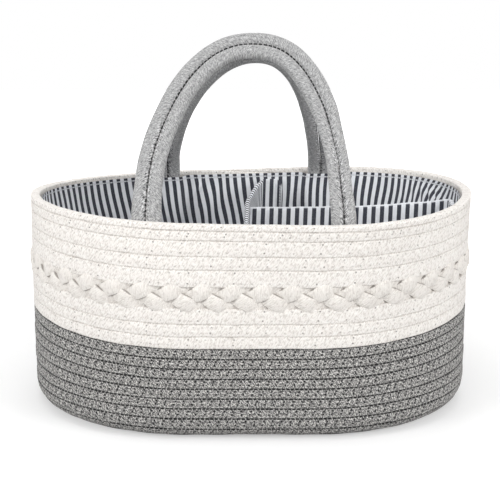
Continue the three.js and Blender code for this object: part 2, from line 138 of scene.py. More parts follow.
class Finish(Graph):
    def __init__(self, name, **plain):
        self.material = bpy.data.materials.new(name)
        self.material.use_nodes = True
        super().__init__(self.material.node_tree)
        self.shader = self.nodes["Principled BSDF"]
        self.set(**plain)

    def set(self, **sockets):
        """Sets or links the shader's sockets, whose names are written with _ for spaces."""
        for name, value in sockets.items():
            self.put(self.shader.inputs[name.replace("_", " ")], value)

    def parts(self, place, count):
        return [self.add("SeparateXYZ", {}, {0: place}, part) for part in range(count)]

    def map(self, name):
        """The two numbers of a UV map, in metres or shares as the piece wrote them."""
        return self.parts(self.add("UVMap", {"uv_map": name}, {}), 2)

    def place(self):
        """The place on the object itself, in metres."""
        return self.add("TexCoord", {}, {}, object_output)

    def noise(self, place, scale=1.0, detail=2.0, roughness=0.5):
        """Noise at a place, which may be written as three numbers."""
        if isinstance(place, tuple):
            place = self.add("CombineXYZ", {}, dict(enumerate(place)))
        values = {"Vector": place, "Scale": scale, "Detail": detail, "Roughness": roughness}
        return self.add("TexNoise", {}, values)

    def mix(self, share, first, second):
        values = {mix_share: share, mix_first: colour(first), mix_second: colour(second)}
        return self.add("Mix", {"data_type": "RGBA"}, values, mix_result)

    def layers(self, tone, *layers):
        """Lays colours over a tone, each with the share of it that shows."""
        for share, tint in layers:
            tone = self.mix(share, tone, tint)
        return tone

    def use(self, tone, relief, depth):
        """A colour, and a relief whose height from 0 to 1 becomes depth metres."""
        values = {"Strength": 1.0, "Distance": depth, "Height": relief}
        self.set(Base_Color=tone, Normal=self.add("Bump", {}, values))
        print("finish", self.material.name, "has", len(self.nodes), "nodes")


def linear_light(part):
    share = part / 255
    return share / 12.92 if share <= 0.04045 else ((share + 0.055) / 1.055) ** 2.4


def colour(value):
    """Colours are written as they look on screen, 0 to 255, and become linear light here."""
    if isinstance(value, Number):
        return value
    return (*map(linear_light, value), 1.0)


# %% [markdown]
# The wall is an oval of two straight runs and two half ellipses, and each row follows it. One
# place on the wall is a turn from 0 to 4 round the oval, a distance up the wall from the edge
# of the floor and how far it stands out from the rope's middle. Sizes are in millimetres, as in
# the CAD source. The finished basket is not quite even: its ends rise, and the rim is narrower
# at the left.

# %% Plan and side of the wall
mm = 0.001
half_run, end_reach, half_width, half_length = 50, 140, 125, 190
rope_thick, edge_radius = 8, 16
edge_arc = edge_radius * math.pi / 2
edge_top = rope_thick / 2 + edge_radius
grey_rows, grey_row = 10, 8.4
lower_rows, braid_row, upper_rows = [10.1, 10.2, 10], 23.4, [10.9, 10.9, 12.7, 7.8, 4.6]
grey_top_at = grey_rows * grey_row
braid_from = grey_top_at + sum(lower_rows)
braid_to = braid_from + braid_row
rim_at = braid_to + sum(upper_rows)
border_rise, rim_rise = 8.7, 4.7
rim_taper, rim_slant, rim_shift = 0.177, 0.041, 2


def height_at(distance):
    return edge_top + distance - edge_arc


def distance_at(height):
    return edge_arc + height - edge_top


grey_top, rim_height = height_at(grey_top_at), height_at(rim_at)


def smooth(value, low=0.0, high=1.0):
    share = np.clip((np.asarray(value, float) - low) / (high - low), 0, 1)
    return share * share * (3 - 2 * share)


def plan(turn):
    """Turns 0 to 1 are the left end, 1 to 2 the front, 2 to 3 the right end, 3 to 4 the back."""
    turn = np.mod(turn, 4)
    share = turn - np.floor(turn)
    side = np.floor(turn).astype(int) % 4
    still = 0 * share
    middle = half_run * np.choose(side, [still - 1, 2 * share - 1, still + 1, 1 - 2 * share])
    angle = math.pi * np.choose(side, [0.5 + share, still + 1.5, 1.5 + share, still + 2.5])
    return middle, angle


def oval(turn, inset):
    middle, angle = plan(turn)
    cos, sin = np.cos(angle), np.sin(angle)
    reach = np.hypot(end_reach * cos, half_width * sin)
    x = middle + end_reach**2 * cos / reach - inset * cos
    return x, half_width**2 * sin / reach - inset * sin


def settle(x, y, z):
    """The place in the finished basket of a place in the even one."""
    along = x / half_length
    upper = np.maximum(z - grey_top, 0) / (rim_height - grey_top)
    sway = np.minimum(upper, 1.04) ** 2
    rise = smooth(z, edge_top, grey_top) * (border_rise + (rim_rise - border_rise) * upper)
    new_y = y * (1 + rim_taper * along * sway) + rim_slant * x * sway
    return np.stack([x + rim_shift * sway, new_y, z + rise * np.abs(along) ** 3], axis=-1)


def wall(turn, distance, outward):
    turn, distance, outward = np.broadcast_arrays(turn, distance, outward)
    bend = np.clip(distance / edge_radius, 0, math.pi / 2)
    inset = edge_top - (edge_radius + outward) * np.sin(bend)
    straight = np.maximum(distance - edge_arc, 0)
    height = rope_thick / 2 + edge_radius * (1 - np.cos(bend)) + straight - outward * np.cos(bend)
    x, y = oval(turn, inset)
    return settle(x, y, height)


def lengths_along(points):
    steps = np.linalg.norm(np.diff(points, axis=0), axis=1)
    return np.concatenate([[0], np.cumsum(steps)])


measured_at = 100.0
fine_turns = np.linspace(0, 4, 3201)
lap_lengths = lengths_along(wall(fine_turns, measured_at, 0.0))
lap_length = lap_lengths[-1]


def turn_at(length):
    """The turn at a length round the wall, so that pieces are spaced evenly."""
    laps = np.floor(np.asarray(length) / lap_length)
    return 4 * laps + np.interp(length - laps * lap_length, lap_lengths, fine_turns)


def length_at(turn):
    laps = np.floor(turn / 4)
    return laps * lap_length + np.interp(turn - 4 * laps, fine_turns, lap_lengths)


stitches = round(lap_length / 7.3)
stitch_length = lap_length / stitches * mm
print("one lap of the wall is", round(lap_length, 1), "mm, with", stitches, "stitches")

# %% [markdown]
# All soft pieces are grids: rings of points joined by four-sided faces. One function turns a
# grid into a smooth mesh and writes its own measures into UV maps, which the finishes read as
# lengths.

# %% Grids to meshes
def grid_piece(name, points, maps, round_it=False, closed=False, caps=False):
    """A mesh from rows x columns x 3 numbers in mm.

    round_it joins the last column to the first, closed the last row, and caps fill both ends.
    """
    rows, columns = points.shape[:2]
    face_rows = np.arange(rows if closed else rows - 1)
    face_columns = np.arange(columns if round_it else columns - 1)
    r, c = np.meshgrid(face_rows, face_columns, indexing="ij")
    spots = [(r, c), (r, c + 1), (r + 1, c + 1), (r + 1, c)]
    corners = [row % rows * columns + column % columns for row, column in spots]
    polygons = np.stack(corners, axis=-1).reshape(-1, 4).tolist()
    if caps:
        last_ring = range((rows - 1) * columns, rows * columns)
        polygons += [list(range(columns))[::-1], list(last_ring)]
    mesh = bpy.data.meshes.new(name)
    mesh.from_pydata((points.reshape(-1, 3) * mm).tolist(), [], polygons)
    for map_name, values in maps.items():
        layer = mesh.uv_layers.new(name=map_name)
        coordinates = np.stack([values[spot] for spot in spots], axis=2).reshape(-1, 2)
        if caps:
            first, last = values[0, :columns][::-1], values[-1, :columns]
            coordinates = np.concatenate([coordinates, first, last])
        layer.data.foreach_set("uv", coordinates.astype(np.float32).ravel())
    mesh.polygons.foreach_set("use_smooth", [True] * len(mesh.polygons))
    mesh.update()
    return new_object(name, mesh)


def dress(piece, body, slot, finish, *nodes):
    """A piece gets its finish, rides on its body and stands for CAD nodes."""
    piece.data.materials.append(finish.material)
    if body:
        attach(piece, body)
    if nodes:
        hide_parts(*nodes)
    print(piece.name, "has", len(piece.data.polygons), "faces")


# %% [markdown]
# Cotton rope has a core and a cover of fine yarn that runs slanted across it. Each row is sewn
# to the next with a zigzag thread: it crosses the joint twice per stitch, so the shade in the
# joint shows as short dark dashes, and it leaves a needle hole on either side. All of that is
# one pattern in two numbers: the length along the row, and the distance to the joint.

# %% The zigzag stitch
stitch_above, stitch_below = 0.0038, 0.0022
joint_edge, joint_shut = 0.0006, 0.0012
cotton = {"Roughness": 0.95, "Sheen_Roughness": 0.6}


def rope_maps(finish):
    """Length along the row, row number, and the distances to the joints above and below."""
    return *finish.map("run"), *finish.map("joints")


def zigzag(finish, run, row, to_joint, above, hole_size):
    """Needle holes, painted joint shade and the thread in it, each 0 to 1, above or below a
    joint.
    """
    wander = finish.noise((run * 90, row * 7, 0.0), detail=1.0) * 0.5
    phase = (run / stitch_length + row * 0.37 + wander).fraction()
    height = stitch_above if above else stitch_below
    from_hole = abs(phase - 0.5) if above else 0.5 - abs(phase - 0.5)
    away, aside = from_hole * stitch_length, to_joint - height
    hole = 1 - (away * away + aside * aside).power(0.5).rise(hole_size * 0.35, hole_size)
    open_joint = 1 - to_joint.rise(joint_edge, joint_shut)
    crossing = abs((phase * 2).fraction() - 0.5).rise(0.34, 0.4)
    return hole, open_joint * (1 - crossing), open_joint * crossing


def sewn_rope(finish, run, row, to_top, to_bottom, hole_size):
    over = zigzag(finish, run, row, to_bottom, True, hole_size)
    under = zigzag(finish, run, row + 1, to_top, False, hole_size)
    return [first.most(second) for first, second in zip(over, under)]


def slanted_yarn(finish, run, up, row, width, length, slant):
    """Noise drawn out into short yarns that lean by the slant."""
    over = (run + up * slant) * (1 / width)
    along = (up - run * slant * 0.3) * (1 / length)
    return finish.noise((over, along, row * 9), detail=1.0)


# %% [markdown]
# Off-white rope is the pale one: its yarns show as faint slanted lines, its joints as thin
# lines of painted shade and its needle holes as sparse dots.

# %% Off-white rope
white_rope = Finish("off_white_cotton_rope", Sheen_Weight=0.12, **cotton)
run, row, to_top, to_bottom = rope_maps(white_rope)
up = (to_bottom - to_top) * 0.5
hole, joint_shade, thread = sewn_rope(white_rope, run, row, to_top, to_bottom, 0.0009)
leaning = slanted_yarn(white_rope, run, up, row, 0.00125, 0.0034, -0.55)
crossing = slanted_yarn(white_rope, run, up, row + 3, 0.0013, 0.0024, 0.35)
cloudy = white_rope.noise((run * 45, up * 60, row * 5))
uneven = white_rope.noise((run * 90, row * 3, 8.0), detail=1.0).rise(0.45, 0.65)
tone = white_rope.layers(
    white_rope.mix(cloudy, (243, 237, 232), (252, 249, 244)),
    (leaning.rise(0.5, 0.64) * 0.6, (208, 201, 194)),
    (crossing.rise(0.54, 0.68) * 0.5, (212, 205, 198)),
    ((1 - leaning).rise(0.55, 0.7) * 0.6, (255, 254, 250)),
    # painted shade where the joint between rows opens
    (joint_shade * (uneven * 0.3 + 0.15), (150, 142, 134)),
    (hole * (uneven * 0.6 + 0.08), (96, 90, 84)),
)
relief = leaning * 0.5 + crossing * 0.4 + thread * 0.3 - hole * 0.6
white_rope.use(tone, relief, 0.0008)

# %% [markdown]
# Grey rope is spun from dark and light yarn, so close up it is salt and pepper, not one grey.
# Two sets of drawn-out noise, leaning opposite ways, are cut into dark and light flecks.

# %% Grey rope
grey_rope = Finish("salt_and_pepper_rope", Sheen_Weight=0.1, **cotton)
run, row, to_top, to_bottom = rope_maps(grey_rope)
up = (to_bottom - to_top) * 0.5
hole, joint_shade, thread = sewn_rope(grey_rope, run, row, to_top, to_bottom, 0.0012)
leaning = slanted_yarn(grey_rope, run, up, row, 0.0011, 0.0022, 0.7)
crossing = slanted_yarn(grey_rope, run, up, row + 3, 0.0011, 0.0022, -0.7)
grains = grey_rope.noise((run * 1100, up * 900, row * 7), detail=1.0)
cloudy = grey_rope.noise((run * 40, up * 50, row * 5))
tone = grey_rope.layers(
    grey_rope.mix(cloudy, (134, 133, 131), (150, 148, 145)),
    (leaning.rise(0.52, 0.62) * 0.8, (226, 224, 220)),
    (crossing.rise(0.54, 0.64) * 0.8, (54, 53, 55)),
    ((1 - leaning).rise(0.55, 0.65) * 0.8, (66, 65, 67)),
    (grains.rise(0.57, 0.66) * 0.8, (240, 238, 234)),
    ((1 - grains).rise(0.57, 0.66) * 0.8, (36, 36, 38)),
    (thread * 0.6, (120, 119, 117)),
    # painted shade, near black, in the open joint between rows
    (joint_shade, (8, 8, 10)),
    (hole, (6, 6, 8)),
)
relief = leaning * 0.5 + crossing * 0.5 + thread * 0.3 - hole * 0.9
grey_rope.use(tone, relief, 0.0008)

# %% [markdown]
# The plaited band is softer: its strands are not sewn through, so they keep fine even ribs, and
# a thin shade along their sides marks where one dives under the next. The upper side of a
# strand faces the light, so its shade reaches further in.

# %% Plait finish
rib_wave = 2 * math.pi / 0.0017
plait_rope = Finish("plaited_cotton", Sheen_Weight=0.12, **cotton)
run, row, to_top, to_bottom = rope_maps(plait_rope)
up = (to_bottom - to_top) * 0.5
side = (to_top * 0.72).least(to_bottom * 0.85)
fluff = plait_rope.noise((run * 1500, up * 900, row * 9), 1.0, 3.0, 0.7)
ribs = ((run + up * -0.5) * rib_wave + fluff * 3).sine() * 0.5 + 0.5
cloudy = plait_rope.noise((run * 45, up * 60, row * 5))
leaning = slanted_yarn(plait_rope, run, up, row, 0.00125, 0.003, -0.4)
tone = plait_rope.layers(
    plait_rope.mix(cloudy, (241, 236, 230), (250, 246, 241)),
    (ribs * 0.3 * fluff.rise(0.35, 0.6), (222, 215, 206)),
    (leaning.rise(0.5, 0.64) * 0.5, (210, 203, 196)),
    (fluff.rise(0.6, 0.75) * 0.4, (214, 206, 198)),
    ((1 - side.rise(0.0002, 0.0008)) * 0.8, (134, 127, 120)),
)
plait_rope.use(tone, ribs * 0.5 + fluff * 0.5, 0.0005)

# %% [markdown]
# A wall coil is one rope. It keeps its row all the way round and climbs to the next one on the
# straight run at the back, where its ends taper away too. The section is a full, slightly
# squared round, because sewn rows press each other flat. The rim has no joint above it, and its
# yarn runs on over the top, so its map counts the way over the top too.

# %% Wall coils
ring_points, lap_steps, end_steps, end_turn = 20, 260, 24, 0.93
thinnest, press, full_from, wall_round = 0.25, 1.05, 2.2, 0.3
rim_fade, rim_open = (4, 0.5), 6
around = 2 * math.pi * np.arange(ring_points + 1) / ring_points


def rounded(angle, fullness):
    """A squared round: cosine and sine of the angle with their size raised to a power."""
    cos, sin = np.cos(angle), np.sin(angle)
    return np.sign(cos) * np.abs(cos) ** fullness, np.sign(sin) * np.abs(sin) ** fullness


section_out, section_up = rounded(around, wall_round)


def waver(length, seed, size):
    """A slow, repeatable unevenness along a rope."""
    phases = np.random.default_rng(seed).uniform(0, 2 * math.pi, 4)
    swept = 2 * math.pi * length
    periods = [31.0, 53.0, 97.0, 173.0]
    waves = [np.sin(swept / period + phase) for period, phase in zip(periods, phases)]
    return size * sum(waves) / 2


def rope_map(length, row, to_top, to_bottom):
    """The two maps that rope finishes read: (length, row) and the distances to both joints."""
    run = np.broadcast_to(length[:, None] * mm, to_top.shape)
    row = np.broadcast_to(np.reshape(row, (-1, 1)), to_top.shape)
    joints = np.stack([to_top, to_bottom], axis=-1) * mm
    return {"run": np.stack([run, row], axis=-1), "joints": joints}


def rows_of(turns, edges):
    """The row that a rope has reached at each turn, and the lower and upper edge of it."""
    laps = turns / 4
    climb = np.floor(laps) + smooth(laps - np.floor(laps), 0.75, 1.0)
    marks = np.arange(len(edges))
    return climb, np.interp(climb, marks, edges), np.interp(climb + 1, marks, edges)


def wall_coil(name, start, row_heights, finish, slot, seed, spread=(0, 0)):
    """A rope that climbs row by row. The spread puts its outer joints deeper under the plait."""
    edges = start + np.concatenate([[0], np.cumsum(row_heights)])
    edges[0] -= spread[0]
    edges[-1] += spread[1]
    last_lap = 4 * (len(row_heights) - 1)
    even = turn_at(np.linspace(0, lap_length, lap_steps, endpoint=False))
    turns = [np.linspace(-end_turn, 0, end_steps, endpoint=False)]
    turns += [lap + even for lap in range(0, last_lap, 4)]
    turns += [last_lap + even[even <= 3], last_lap + np.linspace(3, 3 + end_turn, end_steps)[1:]]
    turns = np.concatenate(turns)
    climb, low, high = rows_of(turns, edges)
    length = length_at(turns)
    middle, half = (low + high) / 2, np.maximum((high - low) / 2, thinnest) * press
    thick = rope_thick / 2 * np.minimum(1, half / full_from) ** 0.5 + waver(length, seed, 0.18)
    up = half[:, None] * section_up
    out = thick[:, None] * section_out + waver(length, seed + 1, 0.14)[:, None]
    points = wall(turns[:, None], (middle + waver(length, seed + 2, 0.12))[:, None] + up, out)
    rim = smooth(high, *(rim_at - below for below in rim_fade))[:, None]
    over = thick[:, None] * (1 - np.abs(section_out)) * (section_up > 0)
    to_top, to_bottom = half[:, None] - up + rim_open * rim, half[:, None] + up + 2 * over * rim
    maps = rope_map(length, climb, to_top, to_bottom)
    rope_name = name.replace("coil", "rope")
    piece = grid_piece(rope_name, points[:, :-1], maps, round_it=True, caps=True)
    dress(piece, "basket", slot, finish, name)
    print(piece.name, "is", round(lengths_along(points[:, 0])[-1] * mm, 2), "m of rope")


under_plait = 3.0
white = (white_rope, "white_rope")
wall_coil("wall_coil_grey", 0, [grey_row] * grey_rows, grey_rope, "grey_rope", 1)
wall_coil("wall_coil_white_lower", grey_top_at, lower_rows, *white, 4, (0, under_plait))
wall_coil("wall_coil_white_upper", braid_to, upper_rows, *white, 7, (under_plait, 0))

# %% [markdown]
# The band between the white coils is a flat plait of three strands. A strand swings up and down
# once per period and passes in front twice, so its height is a sine, drawn a little straighter,
# and its depth a sine of twice the angle. The three strands are a third of a period apart. Each
# one is swept with a soft oval section set square to its own path, and the crossings then make
# the leaves by themselves.

# %% Plaited band
strand_round, outer_open, outer_from, outer_to = 0.95, 4, 7.2, 9.8


def sweep_on_wall(name, length, up, out, half_wide, half_thick, row):
    """A closed strand whose path runs along the wall at a height and depth, in mm."""
    slope = np.gradient(up, length)
    steepness = np.hypot(1, slope)
    wide, thick = rounded(around, strand_round)
    across = half_wide[:, None] * wide
    lengths = length[:, None] - across * (slope / steepness)[:, None]
    ups = up[:, None] + across * (1 / steepness)[:, None]
    outs = out[:, None] + half_thick * thick
    points = wall(turn_at(lengths), (braid_from + braid_to) / 2 + ups, outs)
    length = np.append(length, lap_length)
    half_wide = np.append(half_wide, half_wide[0])[:, None]
    across = np.concatenate([across, across[:1]])
    outer = outer_open * smooth(np.abs(np.concatenate([ups, ups[:1]])), outer_from, outer_to)
    maps = rope_map(length, row, half_wide - across + outer, half_wide + across + outer)
    return grid_piece(name, points[:, :-1], maps, round_it=True, closed=True)


plait_periods, plait_shift, plait_steps = 14, 2.4, 1400
plait_swing, plait_straight = 6.4, 0.07
plait_front, plait_back, plait_out = 3.0, 1.4, 0.3
strand_half_wide, strand_half_thick, strand_swell = 6.2, 2.6, 0.3
length = np.linspace(0, lap_length, plait_steps, endpoint=False)
for strand, name in enumerate(["plait_strand_a", "plait_strand_b", "plait_strand_c"]):
    angle = 2 * math.pi * (plait_periods * (length + plait_shift) / lap_length + strand / 3)
    up = plait_swing * (np.sin(angle) - plait_straight * np.sin(3 * angle))
    layer = np.sin(2 * angle)
    out = plait_out + np.where(layer > 0, plait_front, plait_back) * layer
    out = out + waver(length, 20 + strand, 0.1)
    wide = strand_half_wide + strand_swell * layer + waver(length, 30 + strand, 0.12)
    row = 0.3 + strand * 0.1
    piece = sweep_on_wall(name, length, up, out, wide, strand_half_thick, row)
    dress(piece, "basket", "white_braid", plait_rope, "braided_band")

# %% [markdown]
# The base is one more grey rope, wound flat in ovals from the middle out. It is only seen from
# below, but it is what the caddy stands on, so it gets the same rope, pressed flatter.

# %% Base coil
base_turns, turn_steps, inner_run, base_gap, base_end = 12, 96, 65, 1.7, 0.9
base_thinnest, base_full_from, base_round = 0.3, 2.5, 0.55
base_row = (half_width - edge_top - base_gap) / base_turns


def base_point(turn, reach, height):
    middle, angle = plan(turn)
    run_half = inner_run + (half_run - inner_run) * reach / half_width
    tip = inner_run + reach - run_half
    x = middle / half_run * run_half + tip * np.cos(angle)
    return np.stack(np.broadcast_arrays(x, reach * np.sin(angle), height), axis=-1)


last_turn = 4 * base_turns - 1
first_end = np.linspace(-base_end, 0, 12, endpoint=False)
last_end = np.linspace(last_turn, last_turn + base_end, 13)[1:]
full_turns = np.linspace(0, last_turn, base_turns * turn_steps)
turns = np.concatenate([first_end, full_turns, last_end])
climb, low, high = rows_of(turns, np.arange(base_turns + 1) * base_row)
half = np.maximum((high - low) / 2, base_thinnest)
flat_out, flat_up = rounded(around, base_round)
across = half[:, None] * flat_out
tall = rope_thick / 2 * np.minimum(1, half / base_full_from) ** 0.5
reach, level = ((low + high) / 2)[:, None] + across, tall[:, None] * (1 + flat_up)
points = base_point(turns[:, None], reach, level)
to_top, to_bottom = half[:, None] - across, half[:, None] + across
maps = rope_map(lengths_along(points[:, 0]), climb, to_top, to_bottom)
piece = grid_piece("base_rope", points[:, :-1], maps, round_it=True, caps=True)
dress(piece, "basket", "grey_rope", grey_rope, "base_coil")

# %% [markdown]
# The lining is cotton woven in dark and light stripes. A stripe is a lighter or darker run of
# threads, so its edge is crisp but broken by single threads. The cloth map holds the distance
# across the stripes and down them in metres, so a sewn skew or fold only has to shift those
# numbers.

# %% Striped cotton
stripe_period = 7.44
thread_wave = 2 * math.pi / 0.0007
striped_cotton = Finish("striped_cotton", Roughness=0.85, Sheen_Weight=0.1, Sheen_Roughness=0.5)
across, down = striped_cotton.map("cloth")
from_seam, along_seam = striped_cotton.map("seam")
slubs = striped_cotton.noise((across * 2600, down * 260, 0.0))
threads = striped_cotton.noise((across * 300, down * 2600, 4.0))
weave = (across * thread_wave).sine() * (down * thread_wave).sine()
stripe = abs((across / (stripe_period * mm)).fraction() - 0.5) * 2 + (slubs - 0.5) * 0.05
dark = 1 - stripe.rise(0.46, 0.53)
along_stitch = (along_seam / 0.0028).fraction()
stitch = (1 - abs(from_seam).rise(0.0004, 0.0007)) * along_stitch.rise(0.1, 0.2)
hollow_and_shade = 1 - abs(from_seam).rise(0.0006, 0.0012)
tone = striped_cotton.layers(
    striped_cotton.mix(dark, (249, 251, 255), (54, 56, 66)),
    (slubs.rise(0.5, 0.75) * 0.14, (160, 163, 172)),
    (threads.rise(0.5, 0.75) * 0.1, (196, 199, 206)),
    # painted shade in the hollow along a seam
    (hollow_and_shade * 0.2, (70, 72, 80)),
    (stitch * 0.8, (240, 242, 247)),
)
relief = weave * 0.15 + slubs * 0.35 - hollow_and_shade * 0.8 + stitch * 0.6
striped_cotton.use(tone, relief, 0.0004)
striped = ("striped_cotton", striped_cotton)

# %% [markdown]
# Lining cloth hangs from a seam at the rim and is caught again at the floor. It is held flat
# against the wall on all sides, so its small folds are moved in one by one: a skew from being
# sewn a little off, folds and pleats at the ends, one crease at the back, and pockets over the
# handle ends. It lies flat behind the flaps of the divider. The stripes also wander a little,
# since cloth is never laid quite straight, and most where it is gathered.

# %% Lining of the wall
lining_gap, lining_steps, lining_below_rim = 1.0, 900, 3.5
lining_top = rim_height - lining_below_rim
leg_places = {-1: (-87.0, 74.0), 1: (-82.5, 67.9)}
pocket_half, pocket_depth, pocket_from = 12.7, 9.4, 109.2
gathers_at, gather_depth, rim_seam, fold_reach = 2.64, 2.6, 3.0, 120
crease_x, crease_height, crease_slant, crease_depth = -43, 163, 0.75, 2.4


def bump_at(value, centre, width):
    """A soft hill of height 1."""
    return np.exp(-(((value - centre) / width) ** 2))


def pocket_over_tails(x, y, height):
    pairs = zip(leg_places[-1], leg_places[1])
    left, right = [np.where(y < 0, front, back) for front, back in pairs]
    beside = np.minimum(np.abs(x - left), np.abs(x - right)) - pocket_half
    return pocket_depth * (1 - smooth(beside, 0, 9)) * smooth(height, grey_top, pocket_from)


def lining_offset(turn, height):
    """How far the cloth stands in from the wall in mm, with its folds."""
    x, y = oval(turn, 0)
    free = smooth(np.abs(x - 15), 22, 45) * smooth(186 - x, 0, 10)
    drop = np.clip((lining_top - height) / fold_reach, 0, 1)
    slow = 0.5 + 0.5 * np.sin(turn * 9.7 + drop * 3) * np.sin(turn * 4.1 - drop * 5)
    at_ends = smooth(np.abs(x), 110, 165)
    fine = 0.5 + 0.5 * np.sin(turn * 44 + drop * 4 + np.sin(turn * 13))
    folds = 1.2 * slow * drop + (1.4 + 1.4 * (x > 0)) * fine * at_ends * smooth(drop, 0.02, 0.3)
    pleats = np.abs(np.sin(turn * 105 + drop * 9))
    pleats = pleats * bump_at(turn, gathers_at + 0.02, 0.09) * smooth(drop, 0, 0.12)
    past = x + crease_slant * (172 - height) - crease_x
    crease = crease_depth * bump_at(past, 0, 3) * bump_at(height, crease_height, 9) * (y > 0)
    return pocket_over_tails(x, y, height) + (folds + gather_depth * pleats + crease) * free


lining_turns = turn_at(np.linspace(0, lap_length, lining_steps + 1))
lining_turns[-1] = 4.0
edge_distances = np.linspace(0.0, edge_arc, 9)
wall_distances = np.linspace(edge_arc, distance_at(lining_top), 64)[1:]
distances = np.concatenate([edge_distances, wall_distances])
heights = np.where(distances < edge_arc, edge_top, height_at(distances))
turn_grid, distance_grid = np.meshgrid(lining_turns, distances, indexing="ij")
height_grid = np.broadcast_to(heights, turn_grid.shape)
offset = lining_gap + lining_offset(turn_grid, height_grid) * (distance_grid > edge_arc)
points = wall(turn_grid, distance_grid, -(rope_thick / 2) - offset)
lining_length = lengths_along(wall(lining_turns, measured_at, -rope_thick / 2 - lining_gap))
stripe_count = round(lining_length[-1] / stripe_period)
stripe_place = lining_length / lining_length[-1] * stripe_count * stripe_period
skew = 0.17 * (1 - smooth(lining_turns, 0.6, 1.2)) + 0.17 * smooth(lining_turns, 3.15, 3.5)
skew = skew - 0.12 * bump_at(lining_turns, gathers_at - 0.04, 0.3)
skew = skew - 0.5 * bump_at(lining_turns, gathers_at, 0.1)
from_top = distance_at(lining_top) - distances
sideways = stripe_place[:, None] + skew[:, None] * from_top
loose = 0.5 + 1.3 * bump_at(lining_turns, gathers_at, 0.16)[:, None]
wander = 3 * np.sin(lining_turns * 9)[:, None]
sideways = sideways + loose * np.sin(from_top / 9 + wander)
from_top = np.broadcast_to(from_top, sideways.shape)
cloth_map = np.stack([sideways, from_top], axis=-1) * mm
seam_map = np.stack([from_top - rim_seam, sideways], axis=-1) * mm
piece = grid_piece("lining_of_the_wall", points, {"cloth": cloth_map, "seam": seam_map})
dress(piece, "basket", *striped, "lining_wall")
print("stripes in the lining:", stripe_count)

# %% [markdown]
# The floor of the lining is one oval of the same cloth, caught to the wall piece all round. Its
# stripes run from front to back. A few shallow waves keep it from looking like a board.

# %% Lining of the floor
floor_shares, floor_height, floor_wave = np.linspace(0.02, 1, 26), 9.3, 0.25
x_rim, y_rim = oval(lining_turns[::3], edge_top - 0.2)
x, y = x_rim[:, None] * floor_shares, y_rim[:, None] * floor_shares
wave = floor_wave * (np.sin(x / 17 + y / 29) + np.sin(y / 13 - x / 41)) * (1 - floor_shares**4)
points = np.stack([x, y, floor_height + wave], axis=-1)
cloth_map = np.stack([x, y], axis=-1) * mm
maps = {"cloth": cloth_map, "seam": np.ones_like(cloth_map)}
piece = grid_piece("lining_of_the_floor", points, maps)
dress(piece, "basket", *striped, "lining_floor")

# %% [markdown]
# A handle is two soft grey ropes side by side. Each one is a single length: its ends go down
# between the rope wall and the lining, and it comes up over the rim and round the arch. The
# hinge of the CAD model stands for the rope bending just over the rim, so each rope is laid
# along the basket below that line and along its handle above it. The thread between the two
# pulls the yarn about, most of all on the legs, so the last number of the map says how far down
# a leg a place is.

# %% Handle finish
handle_rope = Finish("soft_grey_cord", Roughness=0.95, Sheen_Weight=0.4, Sheen_Roughness=0.5)
run, row, to_seam, leg = rope_maps(handle_rope)
over, under = [
    zigzag(handle_rope, run * 0.88, 0.0, to_seam * 1.3, above, 0.0008) for above in (True, False)
]
outer = row.math("GREATER_THAN", 0.5)
hole, seam, thread = [one * outer + two * (1 - outer) for one, two in zip(over, under)]
leaning = slanted_yarn(handle_rope, run, to_seam, row, 0.0009, 0.003, 0.8)
crossing = slanted_yarn(handle_rope, run, to_seam, row + 3, 0.0009, 0.002, -0.6)
fluff = handle_rope.noise((run * 1000, to_seam * 1000, row * 9), detail=1.0)
tugs = slanted_yarn(handle_rope, run, to_seam, row + 5, 0.0013, 0.0026, 1.0)
tugged = (1 - to_seam.rise(0.002, 0.0045)) * leg
cloudy = handle_rope.noise((run * 60, to_seam * 90, row * 4))
tone = handle_rope.layers(
    handle_rope.mix(cloudy, (158, 158, 158), (168, 168, 168)),
    (leaning.rise(0.5, 0.62) * 0.8, (206, 206, 206)),
    ((1 - leaning).rise(0.54, 0.66) * 0.7, (112, 112, 114)),
    (crossing.rise(0.56, 0.68) * 0.5, (110, 110, 112)),
    (fluff.rise(0.58, 0.7) * 0.5, (214, 214, 214)),
    ((1 - fluff).rise(0.58, 0.7) * 0.5, (100, 100, 102)),
    # painted shade, near black, in the gap between the two ropes
    (seam, (14, 14, 16)),
    (thread * 0.7, (214, 214, 214)),
    (tugged * tugs.rise(0.56, 0.64) * 0.85, (44, 44, 47)),
    (tugged * (1 - tugs).rise(0.56, 0.64) * 0.85, (236, 236, 236)),
    (hole * (leg * 0.4 + 0.3), (50, 50, 52)),
)
relief = leaning * 0.5 + crossing * 0.5 - seam * 0.5
handle_rope.use(tone, relief, 0.0007)

# %% [markdown]
# The path of a handle is worked out once as the seam between its two ropes, with the direction
# across the pair and the direction through its thickness at each point. A hinge is written as
# its side, its place, its yaw and lean in degrees and half its span. An arch is written as how
# far it leans in at the top, its slant and bow sideways, and how full its round is. The
# photographed legs also stray a little sideways, which the leg shifts give at 0, 0.3, 0.6 and 1
# of the height.

# %% Handle paths
rope_half_gap, leg_inset, arch_height = 5.75, 12.9, 155
tail_length, tail_below_rim, tail_points = 64, 5, 9
path_step, shift_shares = 2.5, [0, 0.3, 0.6, 1]
turned_below_rim, turned_above_hinge = 8, 60
hinges = {
    "front_handle": (-1, np.array([-4.05, -108.18, 185.11]), -4.06, 36.5, 75.40),
    "back_handle": (1, np.array([-3.59, 108.21, 185.08]), 8.69, 41.0, 72.84),
}
arches = {"front_handle": (8.0, 0.8, -4.2, 2.38), "back_handle": (6.9, -5.9, -3.6, 2.18)}
leg_shifts = {
    "front_handle": ([-3.0, -2.8, -0.4, 0], [3.1, 5.4, 4.9, 0]),
    "back_handle": ([-3.0, -0.8, 0, 0], [0, 0, 0, 0]),
}


def turn_where_x(x, side):
    """The turn on the front (side -1) or the back (side 1) where the wall is at x."""
    if side < 0:
        turns = fine_turns[(fine_turns > 0.5) & (fine_turns < 2.5)]
    else:
        turns = np.linspace(2.5, 4.5, 1601)
    return np.interp(-side * x, -side * oval(turns, 0)[0], turns)


